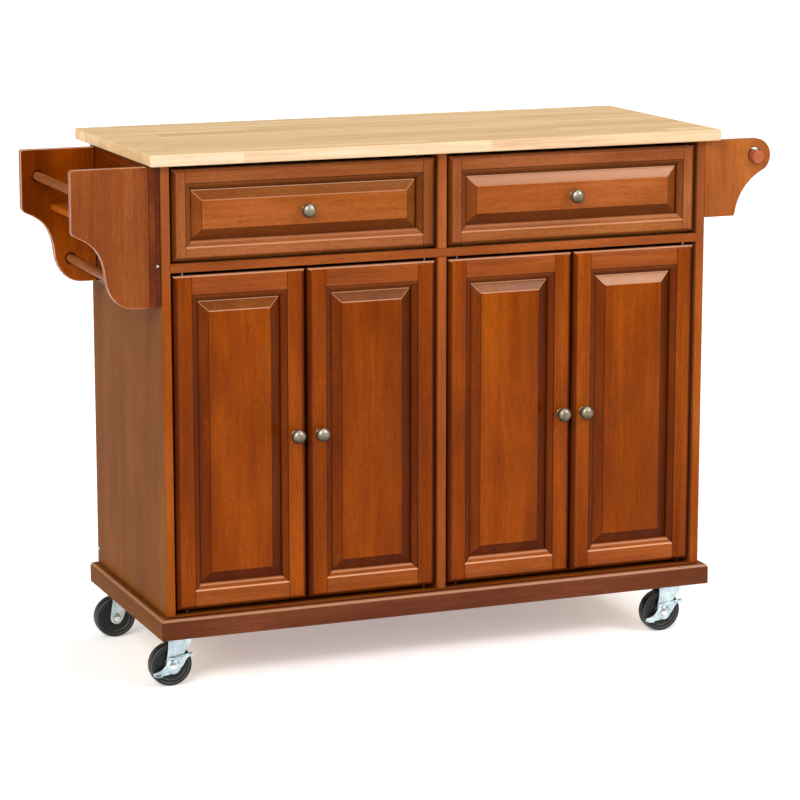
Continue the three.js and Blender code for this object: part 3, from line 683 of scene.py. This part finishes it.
def frame_profile(flat):
    """(inset from the outer edge, depth behind the front) round a stile-and-rail frame, closed."""
    inner = flat + STICKING
    points = [(flat, 0.0), (ROUNDING, 0.0)]
    points += quarter((ROUNDING, 0.0), (0.0, ROUNDING), True, 9)
    points += [(0.0, FRAME_THICK - 0.8), (0.8, FRAME_THICK)]
    groove = inner - GROOVE_REACH
    points += [(inner, FRAME_THICK), (inner, GROOVE_BACK), (groove, GROOVE_BACK), (groove, GROOVE_FRONT)]
    points += [(inner, GROOVE_FRONT), (inner, STICKING_DEPTH)]
    points += quarter((inner, STICKING_DEPTH), (flat + 0.6, 1.3), False)
    points += [(flat + 0.3, 1.0), (flat + 0.15, 0.2)]
    return points


def rectangle(box, inset, y):
    """The four corners of a rectangle inset from the box's front view."""
    low, high = box
    x0, x1, z0, z1 = low.x + inset, high.x - inset, low.z + inset, high.z - inset
    return (x0, y, z0), (x1, y, z0), (x1, y, z1), (x0, y, z1)


def add_ring(bm, box, profile):
    """Adds a mitred rectangular frame whose section is the closed profile."""
    loops = []
    for inset, depth in profile:
        loops.append([bm.verts.new(spot) for spot in rectangle(box, inset * MM, box[0].y + depth * MM)])
    for index, loop in enumerate(loops):
        following = loops[(index + 1) % len(loops)]
        for corner in range(4):
            after = (corner + 1) % 4
            bm.faces.new((loop[corner], loop[after], following[after], following[corner]))


def member_outlines(box, flat, gap=0.08):
    """Front-view outlines of the two full-height stiles and the two rails, mitred only at the sticking."""
    low, high = box
    f, g, out = flat * MM, gap * MM, 5 * MM
    deep = (flat + STICKING) * MM + out
    x0, x1, z0, z1 = low.x, high.x, low.z, high.z
    left = [
        (x0 - out, z0 - out), (x0 + f - g, z0 - out), (x0 + f - g, z0 + f + g),
        (x0 + deep - g, z0 + deep + g), (x0 + deep - g, z1 - deep - g),
        (x0 + f - g, z1 - f - g), (x0 + f - g, z1 + out), (x0 - out, z1 + out),
    ]
    right = [(x0 + x1 - x, z) for x, z in reversed(left)]
    bottom = [
        (x0 + f + g, z0 - out), (x1 - f - g, z0 - out), (x1 - f - g, z0 + f - g),
        (x1 - deep - g, z0 + deep - g), (x0 + deep + g, z0 + deep - g), (x0 + f + g, z0 + f - g),
    ]
    top = [(x, z0 + z1 - z) for x, z in reversed(bottom)]
    return {"stile_l": left, "stile_r": right, "rail_b": bottom, "rail_t": top}


def cut_out(name, source, outline, y_low, y_high):
    """The part of the source mesh inside a front-view outline, as a new closed mesh."""
    whole = bpy.data.objects.new(name + "_whole", source.copy())
    bm = bmesh.new()
    add_plate_xz(bm, outline, y_low, y_high)
    cutter = bpy.data.objects.new(name + "_cutter", mesh_from(bm, name + "_cutter"))
    for made in (whole, cutter):
        SCENE.collection.objects.link(made)
    boolean = whole.modifiers.new("keep", "BOOLEAN")
    boolean.operation = "INTERSECT"
    boolean.solver = "EXACT"
    boolean.object = cutter
    bpy.context.view_layer.update()
    evaluated = whole.evaluated_get(bpy.context.evaluated_depsgraph_get())
    kept = bpy.data.meshes.new_from_object(evaluated)
    for made in (whole, cutter):
        old = made.data
        bpy.data.objects.remove(made)
        bpy.data.meshes.remove(old)
    bm = bmesh.new()
    bm.from_mesh(kept)
    bpy.data.meshes.remove(kept)
    bmesh.ops.remove_doubles(bm, verts=bm.verts, dist=1e-6)
    bmesh.ops.dissolve_limit(bm, angle_limit=math.radians(0.5), verts=bm.verts, edges=bm.edges)
    return mesh_from(bm, name)


def panel_loops(flat):
    """(inset, depth) from the raised field's edge outwards and round the tongue to the back."""
    inner = flat + STICKING
    field = inner + BEVEL_WIDTH
    start, fall = field - 0.6, 6.7
    points = [(field + 0.5, 2.2), (field, 2.32), (field - 0.45, 2.75), (start, BEVEL_TOP)]
    width = start - (inner + 1.0)
    for step in range(1, 7):
        share = step / 6
        points.append((start - width * share, BEVEL_TOP + fall * (1 - (1 - share) ** 1.18)))
    points += [(inner - TONGUE_REACH, BEVEL_TOP + fall), (inner - TONGUE_REACH, GROOVE_BACK - 0.4)]
    return points


def add_panel(bm, box, profile):
    """Adds a panel of rectangles joined by the profile, closed in front and behind."""
    loops = []
    for inset, depth in profile:
        loops.append([bm.verts.new(spot) for spot in rectangle(box, inset * MM, box[0].y + depth * MM)])
    bm.faces.new(loops[0])
    bm.faces.new(list(reversed(loops[-1])))
    for loop, following in zip(loops, loops[1:]):
        for corner in range(4):
            after = (corner + 1) % 4
            bm.faces.new((loop[after], loop[corner], following[corner], following[after]))


# (radius, distance in front of the door or drawer) in mm.
KNOB_PROFILE = smooth_profile(
    [
        (0, 0), (7.6, 0), (8.1, 0.4), (8.1, 1.5), (7.3, 2.2), (7.2, 2.9), (8.2, 4), (8.7, 5.6), (8.7, 7.2),
        (8.2, 8.3), (8.6, 8.8), (9.6, 9.6), (9.9, 10.4), (9.3, 11.2), (9.9, 11.7), (11.2, 12.8), (12.2, 14.6),
        (12.5, 16.8), (12.1, 19.4), (10.7, 22), (8.3, 24.1), (4.6, 25.5), (0, 26),
    ],
    corners=(1, 5, 9, 13),
    steps=3,
)


def knob(name, node, body):
    """One turned knob, with painted shade towards its underside."""
    low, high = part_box(node)
    centre = ((low.x + high.x) / 2, high.y, (low.z + high.z) / 2)
    mesh = lathe(name, KNOB_PROFILE, centre, (0, -1, 0), 56, 40)
    radius = (high.z - low.z) / 2
    nickel = metal(name + "_nickel", *NICKEL_TONES, 0.4, 900.0, (1, 0.1, 1), (centre[2], radius))
    piece(name, mesh, nickel, body, (node,))


def front(prefix, flat, seed, panel_grain, frame_tones, rail_tones, panel_tones):
    """One drawer or door front: two stiles, two rails, the raised panel and the knob."""
    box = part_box(prefix + "_frame")
    low, high = box
    marks = (box, flat, prefix in DRAWERS, BEVEL_SHEEN[prefix])
    bm = bmesh.new()
    add_ring(bm, box, frame_profile(flat))
    ring = mesh_from(bm, prefix + "_ring")
    for index, (part, outline) in enumerate(member_outlines(box, flat).items()):
        grain = "Z" if part.startswith("stile") else "X"
        name = f"{prefix}_{part}"
        tones = frame_tones if part.startswith("stile") else rail_tones
        wood = stained_wood(name + "_wood", tones, grain, seed + index * 0.61, marks, gloss=FRONT_GLOSS)
        mesh = cut_out(name, ring, outline, low.y - 10 * MM, high.y + 10 * MM)
        replaced = (prefix + "_frame",) if index == 0 else ()
        piece(name, mesh, wood, prefix, replaced)
    bpy.data.meshes.remove(ring)
    bm = bmesh.new()
    add_panel(bm, box, panel_loops(flat))
    name = prefix + "_panel_wood"
    wood = stained_wood(name, panel_tones, panel_grain, seed + 3.3, marks, sheen=0.18, gloss=FRONT_GLOSS)
    mesh = mesh_from(bm, prefix + "_raised_panel", 20)
    piece(prefix + "_raised_panel", mesh, wood, prefix, (prefix + "_panel",))
    knob(prefix + "_pull", prefix + "_knob", prefix)


for number, door in enumerate(DOORS):
    front(door, DOOR_FLAT, 1.0 + number * 4.1, "Z", DOOR_TONES, DOOR_RAIL_TONES, DOOR_TONES)
for number, drawer in enumerate(DRAWERS):
    stains = (DRAWER_FRAME_TONES, DRAWER_FRAME_TONES, DRAWER_TONES)
    front(drawer, DRAWER_FLAT, 21.0 + number * 5.3, "X", *stains)

# ---- Case, plinth, rack and towel brackets --------------------------------

dress("top_board", butcher_block("butcher_block_maple"), 2.0, 4)
BOARDS = {
    "side_left": (SIDE_TONES, "Z"),
    "side_right": (BACK_TONES, "Z"),
    "deck": (RAIL_TONES, "X"),
    "divider_lower": (RAIL_TONES, "Z"),
    "divider_upper": (DRAWER_TONES, "Z"),
    "back_panel": (BACK_TONES, "Z"),
    "shelf_left": (INSIDE_TONES, "X"),
    "shelf_right": (INSIDE_TONES, "X"),
    "plinth_front": (PLINTH_TONES, "X"),
    "plinth_back": (PLINTH_TONES, "X"),
    "plinth_left": (PLINTH_END_TONES, "Y"),
    "plinth_right": (PLINTH_END_TONES, "Y"),
    "floor_board": (INSIDE_TONES, "X"),
    "rack_end_front": (RACK_TONES, "Z"),
    "rack_end_rear": (RACK_TONES, "Z"),
    "rack_back": (RACK_INNER_TONES, "Y"),
    "rack_batten": (BATTEN_TONES, "Y"),
    "rack_shelf": (SHELF_TONES, "Y"),
    "rack_dowel_upper": (DOWEL_TONES, "Y"),
    "rack_dowel_lower": (DOWEL_TONES, "Y"),
    "towel_bracket_front": (BRACKET_TONES, "Z"),
    "towel_bracket_rear": (BRACKET_TONES, "Z"),
    "towel_bar": (BAR_TONES, "Y"),
    "cleat_left": (PLAIN_TONES, "Y"),
    "cleat_right": (PLAIN_TONES, "Y"),
}
# Boards that are seen or lit at a low angle, where the usual gloss would bleach the stain.
GRAZED = ("side", "plinth_left", "plinth_right", "rack_dowel", "rack_shelf")
RACK_LOW, RACK_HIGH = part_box("rack_end_front")
REAR_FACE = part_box("rack_end_rear")[0].y
# Front faces that change colour towards one side: (front y, start x, end x, multiplier). Both are painted:
# shade on the rack's front end towards the side panel, and light on the rear end's inner face where the
# shelf and the front end shade it.
ASIDE = {
    "rack_end_front": (RACK_LOW.y, RACK_HIGH.x - 36 * MM, RACK_HIGH.x, RACK_END_PAINTED_SHADE),
    "rack_end_rear": (REAR_FACE, RACK_LOW.x + 35 * MM, RACK_LOW.x + 75 * MM, RACK_INNER_PAINTED_LIGHT),
}
# The stain of a board's front edge, and how far it turns to UPPER_POST beside the drawers.
END_TONES = {
    "side_left": (RAIL_TONES, 0.12),
    "side_right": (RAIL_TONES, 0.12),
    "floor_board": (SILL_TONES, 0.0),
    # The rack's back board's front end takes painted shade.
    "rack_back": (RACK_END_TONES, 0.0),
    "rack_end_rear": (RACK_INNER_TONES, 0.0),
}
RIM_HEIGHT = 6 * MM
rack_rim = rack_rim_tone("worn_edge_wood", "rack_end_front", ("rack_dowel_upper", "rack_dowel_lower"))
for number, (node, (tones, grain)) in enumerate(BOARDS.items()):
    details = {
        "edge": (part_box(node)[0].y, *END_TONES[node]) if node in END_TONES else None,
        "rim": (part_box(node)[1].z, RIM_HEIGHT) if node.startswith("plinth") else None,
        "aside": ASIDE.get(node),
        "gloss": 0.005 if node.startswith(GRAZED) else 0.1,
    }
    wood = stained_wood(node + "_wood", tones, grain, 40.0 + number * 1.9, **details)
    if node.startswith("rack_end"):
        dress(node, wood, 1.5, 3, rack_rim)
    else:
        dress(node, wood, 0.3 if node == "rack_back" else 0.9)

# ---- Drawer boxes ---------------------------------------------------------

WALL = 12 * MM
TRAY = 7 * MM
GAP = 0.15 * MM
for number, drawer in enumerate(DRAWERS):
    low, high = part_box(drawer + "_box")
    x0, x1, y0, y1 = low.x + WALL, high.x - WALL, low.y + WALL, high.y - WALL
    boards = {
        "wall_front": ((low.x, low.y, low.z), (high.x, y0, high.z), "X"),
        "wall_back": ((low.x, y1, low.z), (high.x, high.y, high.z), "X"),
        "wall_left": ((low.x, y0 + GAP, low.z), (x0, y1 - GAP, high.z), "Y"),
        "wall_right": ((x1, y0 + GAP, low.z), (high.x, y1 - GAP, high.z), "Y"),
        "tray": ((x0 + GAP, y0 + GAP, low.z), (x1 - GAP, y1 - GAP, low.z + TRAY), "X"),
    }
    for index, (part, (start, end, grain)) in enumerate(boards.items()):
        name = f"{drawer}_{part}"
        wood = stained_wood(name + "_wood", PLAIN_TONES, grain, 90.0 + number * 7 + index, sheen=0.45)
        replaced = (drawer + "_box",) if index == 0 else ()
        bm = bmesh.new()
        add_box(bm, start, end)
        bevel_edges(bm, 0.7)
        piece(name, mesh_from(bm, name, 40), wood, drawer, replaced)

# ---- Door pins and screws -------------------------------------------------

# How far the pins stand behind the doors' front faces and inside their hinge edges.
PIN_Y = 9 * MM
PIN_INSET = 18.5 * MM
PIN_PROFILE = [
    (0, -6), (1.8, -6), (1.8, 0.1), (3.4, 0.15), (3.4, 0.7), (1.8, 0.8), (1.8, 5.6), (1.4, 6.0), (0, 6.0),
]
for index, door in enumerate(DOORS):
    low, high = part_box(door + "_frame")
    x = low.x + PIN_INSET if index in (0, 2) else high.x - PIN_INSET
    for end, z, up, steel in (("top", high.z, 1, PIN_STEEL), ("bottom", low.z, -1, STAINED_PIN)):
        name = f"{door}_pin_{end}"
        mesh = lathe(name, PIN_PROFILE, (x, low.y + PIN_Y, z), (0, 0, up), 24)
        piece(name, mesh, steel, door)

SCREW_PROFILE = smooth_profile(
    [(0, -3), (1.6, -3), (1.6, -0.2), (3.6, 0), (3.5, 0.9), (2.4, 1.9), (1.0, 2.3), (0, 2.35)], (2, 3), 3
)
BATTEN_LOW, BATTEN_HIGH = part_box("rack_batten")
BATTEN_X, BATTEN_Z = BATTEN_LOW.x + 3 * MM, BATTEN_LOW.z + 69.5 * MM
SIDE_X, SIDE_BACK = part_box("side_left")[0].x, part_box("side_left")[1].y
SCREWS = {
    "batten_screw_front": (BATTEN_X, BATTEN_LOW.y + MM, BATTEN_Z),
    "batten_screw_rear": (BATTEN_X, BATTEN_HIGH.y - MM, BATTEN_Z),
    "side_screw_rear": (SIDE_X, SIDE_BACK - 8 * MM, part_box("plinth_left")[1].z + 27 * MM),
}
for name, spot in SCREWS.items():
    piece(name, lathe(name, SCREW_PROFILE, spot, (-1, 0, 0), 24), STEEL, "case")

# ---- Casters --------------------------------------------------------------

# Profiles of turned pieces: (radius, distance along the axle) in mm.
WHEEL_HALF = [
    (5.3, -13.0), (10.6, -13.0), (11.6, -12.5), (12.2, -9.2), (13.2, -8.3), (24.6, -8.3), (25.8, -8.9),
    (26.6, -10.6), (27.6, -11.3), (29.6, -11.3), (30.2, -10.6), (31.0, -10.6), (31.6, -11.6), (32.4, -12.0),
    (34.6, -12.0), (36.2, -11.2), (37.3, -9.2), (37.8, -6.0), (38.0, -2.0),
]
WHEEL_PROFILE = WHEEL_HALF + [(r, -y) for r, y in reversed(WHEEL_HALF)] + [WHEEL_HALF[0]]
BOLT_PROFILE = [
    (0, 20.5), (3, 20.5), (6.4, 20.3), (7.0, 19.6), (7.0, 16.1), (5, 16.1), (5, -16.1), (5, -18.4),
    (7.2, -18.5), (7.4, -19.2), (7.2, -20.4), (6.0, -22.0), (3.6, -23.0), (0, -23.3),
]
BOSS_PROFILE = [(0, 0.0), (13, 0.2), (12.6, 1.0), (11, 1.9), (9.2, 2.3), (0, 2.4)]
CURL_PROFILE = [(0, -3.3), (2.4, -3.3), (3.0, -2.7), (3.0, 2.9), (2.4, 3.4), (0, 3.4)]
FORK_HALF = 16.0
FORK_SHEET = 2.5


def curve(points):
    """Points on the path of straight lines and quadratic curves: (x, z) or (control x, control z, x, z)."""
    made = [points[0]]
    for item in points[1:]:
        if len(item) == 2:
            made.append(item)
            continue
        x0, z0 = made[-1]
        for step in range(1, 11):
            t = step / 10
            a, b, c = (1 - t) ** 2, 2 * t * (1 - t), t * t
            made.append((a * x0 + b * item[0] + c * item[2], a * z0 + b * item[1] + c * item[3]))
    return made


def add_sheet(bm, outline, axle, y_low, y_high):
    """Adds a plate whose outline is in mm from the axle, with y from the caster's middle in mm."""
    spots = [(axle.x + x * MM, axle.z + z * MM) for x, z in outline]
    add_plate_xz(bm, spots, axle.y + y_low * MM, axle.y + y_high * MM)


def add_block(bm, axle, low, high):
    """Adds a box whose corners are in mm from the axle's middle."""
    start = (axle.x + low[0] * MM, axle.y + low[1] * MM, axle.z + low[2] * MM)
    end = (axle.x + high[0] * MM, axle.y + high[1] * MM, axle.z + high[2] * MM)
    add_box(bm, start, end)


# Outlines in front view, in mm from the axle.
LEG = curve(
    [(-6, 49), (-7.5, 30), (-10, 14, -11.4, 4), (-12.5, -5, -7, -9.5), (0, -14, 7.4, -9), (12, -4, 16, 8),
     (20, 20, 27, 28), (34, 36, 39.6, 49)]
)
LEVER = curve(
    [(-34, -9), (-37, -16, -31, -16.5), (-8, -17, 8, -10), (18, -4, 23, 7), (27, 14, 34, 16.5), (34, 22),
     (16, 18, -8, 16.5), (-10, 1, -20, -5), (-27, -8.5, -34, -9)]
)[:-1]


def caster(prefix, braked):
    """One caster below its plate: the wheel, the fork with its bolt and, on a braked one, the lever."""
    fork_body, wheel_body = prefix + "_swivel", prefix + "_roller"
    low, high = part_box(prefix + "_wheel")
    axle = (low + high) / 2
    mesh = lathe(prefix + "_tyre", WHEEL_PROFILE, axle, (0, 1, 0), 72, 24)
    black = wheel_plastic(prefix + "_black", axle)
    piece(prefix + "_tyre", mesh, black, wheel_body, (prefix + "_wheel",))
    top = (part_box(prefix + "_fork")[1].z - axle.z) / MM
    leg = [(x, min(z, top)) for x, z in LEG]
    bm = bmesh.new()
    for near in (-FORK_HALF, FORK_HALF - FORK_SHEET):
        add_sheet(bm, leg, axle, near, near + FORK_SHEET)
    add_block(bm, axle, (-6, -FORK_HALF, top - FORK_SHEET), (39.6, FORK_HALF, top))
    bmesh.ops.remove_doubles(bm, verts=bm.verts, dist=1e-6)
    bevel_edges(bm, 0.6, 2, 40)
    mesh = mesh_from(bm, prefix + "_horn", 40)
    piece(prefix + "_horn", mesh, ZINC, fork_body, (prefix + "_fork",))
    mesh = lathe(prefix + "_axle", BOLT_PROFILE, axle, (0, 1, 0), 40, 30)
    piece(prefix + "_axle", mesh, STEEL, fork_body)
    if not braked:
        return
    bm = bmesh.new()
    add_sheet(bm, LEVER, axle, -18.3, -16.3)
    add_block(bm, axle, (-6, -20.8, 14.6), (26, -16.4, 16.4))
    add_block(bm, axle, (30, -22, 18.8), (35, -16.4, 21.2))
    add_block(bm, axle, (-32, -23.8, -16.4), (-20, -16.4, -14.6))
    bevel_edges(bm, 0.7, 3, 35)
    curl = (axle.x + 34.5 * MM, axle.y - 20 * MM, axle.z + 19.4 * MM)
    add_lathe(bm, CURL_PROFILE, curl, (0, 1, 0), 24)
    boss = (axle.x + 1.5 * MM, axle.y - 18.2 * MM, axle.z - 1.5 * MM)
    add_lathe(bm, BOSS_PROFILE, boss, (0, -1, 0), 40)
    mesh = mesh_from(bm, prefix + "_lever", 35)
    piece(prefix + "_lever", mesh, ZINC, prefix + "_lever", (prefix + "_brake",))


for prefix in CASTERS:
    dress(prefix + "_plate", ZINC, 0.4)
    caster(prefix, prefix in BRAKED)

# ---- Camera, light and floor ----------------------------------------------

camera = bpy.data.objects.new("camera", bpy.data.cameras.new("camera"))
camera.data.sensor_width = 36
camera.data.lens = 135.7
camera.data.clip_end = 60
camera.location = (-1.997, -5.006, 1.526)
YAW, PITCH = math.radians(21.90), math.radians(11.40)
look = Vector((math.sin(YAW) * math.cos(PITCH), math.cos(YAW) * math.cos(PITCH), -math.sin(PITCH)))
camera.rotation_euler = look.to_track_quat("-Z", "Y").to_euler()
SCENE.collection.objects.link(camera)
SCENE.camera = camera


def softbox(name, spot, target, width, height, watts):
    """A rectangular light at a spot, turned to face the target."""
    light = bpy.data.lights.new(name, "AREA")
    light.shape = "RECTANGLE"
    light.size, light.size_y = width, height
    light.energy = watts
    made = bpy.data.objects.new(name, light)
    made.location = spot
    made.rotation_euler = (Vector(target) - Vector(spot)).to_track_quat("-Z", "Y").to_euler()
    SCENE.collection.objects.link(made)


def broad_light(name, direction, irradiance, spread):
    """A far, soft light, even over the whole floor. direction points from the object to the light."""
    light = bpy.data.lights.new(name, "SUN")
    light.energy = irradiance
    light.angle = math.radians(spread)
    made = bpy.data.objects.new(name, light)
    made.rotation_euler = Vector(direction).to_track_quat("Z", "Y").to_euler()
    SCENE.collection.objects.link(made)


broad_light("key", (-0.58, -0.63, 0.52), 2.7, 36)
broad_light("top_glow", (0.3, 0.1, 1.0), 1.0, 60)
softbox("strip", (0.8, -1.0, 3.9), (0.2, 0, 0.8), 3.2, 0.5, 25)
softbox("right_front", (2.95, -4.1, 3.4), (0.2, 0, 0.7), 1.5, 1.1, 145)

world = bpy.data.worlds.new("studio")
SCENE.world = world
world.use_nodes = True
tree = world.node_tree
tree.nodes.clear()
direction = tree.nodes.new("ShaderNodeTexCoord")
height = tree.nodes.new("ShaderNodeSeparateXYZ")
sky = tree.nodes.new("ShaderNodeValToRGB")
sky.color_ramp.elements[0].position, sky.color_ramp.elements[0].color = 0.0, (1, 1, 1, 1)
sky.color_ramp.elements[1].position, sky.color_ramp.elements[1].color = 0.35, (0.2, 0.2, 0.2, 1)
background = tree.nodes.new("ShaderNodeBackground")
leave = tree.nodes.new("ShaderNodeOutputWorld")
tree.links.new(direction.outputs["Generated"], height.inputs[0])
tree.links.new(height.outputs[2], sky.inputs[0])
tree.links.new(sky.outputs[0], background.inputs["Color"])
tree.links.new(background.outputs[0], leave.inputs[0])

floor_graph = Graph("pale_floor")
floor_tint = floor_graph.ramp(
    floor_graph.noise(floor_graph.place(), 3.0, 2.0),
    ((0.0, (0.9, 0.9, 0.9, 1)), (1.0, (0.93, 0.93, 0.93, 1))),
)
bm = bmesh.new()
bmesh.ops.create_grid(bm, x_segments=4, y_segments=4, size=40.0)
floor = bpy.data.objects.new("floor", mesh_from(bm, "floor"))
FLOOR_LIGHT = {"Emission Color": (1, 1, 1, 1), "Emission Strength": 0.3}
floor.data.materials.append(floor_graph.surface(floor_tint, 0.9, **FLOOR_LIGHT))
SCENE.collection.objects.link(floor)

SCENE.view_settings.view_transform = "Standard"
